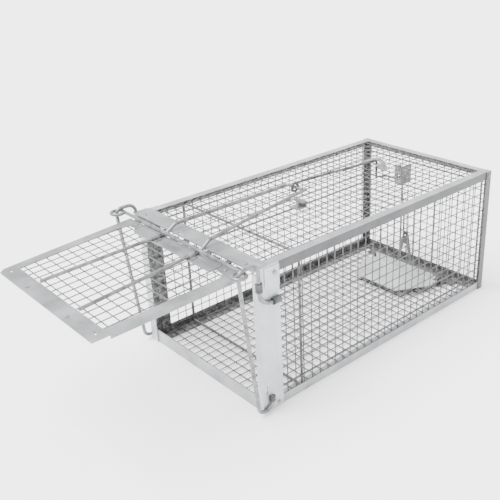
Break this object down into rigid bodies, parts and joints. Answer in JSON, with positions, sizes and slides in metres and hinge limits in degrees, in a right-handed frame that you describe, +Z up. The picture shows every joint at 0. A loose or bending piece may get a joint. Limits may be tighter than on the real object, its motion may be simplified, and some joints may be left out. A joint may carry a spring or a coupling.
{
  "type": "live catch trap",
  "caption": "Wire mesh cage trap set open: framed mesh box with a lift-up drop door, lever wires, guide rods, lock bar, pull rod and floor pedal.",
  "frame": {"origin": "centre of the bounding box's base with the trap set, on the surface it stands on", "axes": "+Z up, +Y along the cage towards its closed rear end, the open door on the -Y side, +X to the right when seen from the door"},
  "size_m": [0.1586, 0.3804, 0.1296],
  "materials": {
    "galvanised_sheet": "satin zinc",
    "galvanised_mesh": "dull zinc",
    "zinc_wire": "bright zinc",
    "steel_fastener": "polished"
  },
  "bodies": {
    "cage": {"front_sill": "galvanised_sheet", "front_top_plate": "galvanised_sheet", "rear_top_rail": "galvanised_sheet", "rear_bottom_rail": "galvanised_sheet", "hinge_pin": "steel_fastener", "cage_hinge_knuckles": "galvanised_sheet", "frame_rivets": "steel_fastener", "rod_bridge": "galvanised_sheet", "arm_rest": "galvanised_sheet", "trigger_bracket": "galvanised_sheet", "bracket_pin": "steel_fastener", "pedal_base_strip": "galvanised_sheet", "pedal_pin": "steel_fastener", "mesh_top": "galvanised_mesh", "mesh_floor": "galvanised_mesh", "mesh_left": "galvanised_mesh", "mesh_right": "galvanised_mesh", "mesh_rear": "galvanised_mesh", "hoop_top": "galvanised_mesh", "hoop_floor": "galvanised_mesh", "hoop_left": "galvanised_mesh", "hoop_right": "galvanised_mesh", "top_rail_left": "galvanised_sheet", "top_rail_right": "galvanised_sheet", "bottom_rail_left": "galvanised_sheet", "bottom_rail_right": "galvanised_sheet", "rear_post_left": "galvanised_sheet", "rear_post_right": "galvanised_sheet", "front_post_left": "galvanised_sheet", "front_post_right": "galvanised_sheet", "guide_rod_left": "zinc_wire", "guide_rod_right": "zinc_wire", "guide_clips_left": "galvanised_sheet", "guide_clips_right": "galvanised_sheet"},
    "door": {"door_end_strip": "galvanised_sheet", "door_hinge_strip": "galvanised_sheet", "door_hinge_knuckles": "galvanised_sheet", "door_mesh": "galvanised_mesh", "door_wire_clips": "galvanised_sheet", "door_rivets": "steel_fastener", "door_side_left": "galvanised_sheet", "door_side_right": "galvanised_sheet", "lever_wire_left": "zinc_wire", "lever_wire_right": "zinc_wire"},
    "lock_bar": {"lock_bar": "zinc_wire"},
    "pull_rod": {"pull_rod": "zinc_wire"},
    "pedal": {"pedal_plate": "galvanised_sheet", "pedal_ear": "galvanised_sheet"},
    "trigger_link": {"trigger_link": "zinc_wire"}
  },
  "joints": [
    {"name": "door_hinge", "type": "hinge", "parent": "cage", "child": "door", "pos_m": [0, -0.0808, 0.1122], "axis": [1, 0, 0], "range_deg": [0, 88]},
    {"name": "lock_bar_slide", "type": "slide", "parent": "cage", "child": "lock_bar", "axis": [0, 0.0966, -0.9953], "range_m": [0, 0.007]},
    {"name": "pull_rod_swing", "type": "hinge", "parent": "door", "child": "pull_rod", "pos_m": [0, 0.0254, 0.1254], "axis": [1, 0, 0], "range_deg": [0, 150]},
    {"name": "pedal_tip", "type": "hinge", "parent": "cage", "child": "pedal", "pos_m": [0.00407, 0.1644, 0.0062], "axis": [1, 0, 0], "range_deg": [0, 6]},
    {"name": "link_turn", "type": "hinge", "parent": "cage", "child": "trigger_link", "pos_m": [0.00407, 0.1514, 0.101], "axis": [1, 0, 0], "range_deg": [-3.4, 0]}
  ],
  "couplings": [
    {"joint": "lock_bar_slide", "follows": "door_hinge", "m_per_rad": 0.0045},
    {"joint": "link_turn", "follows": "pedal_tip", "ratio": -0.56}
  ]
}
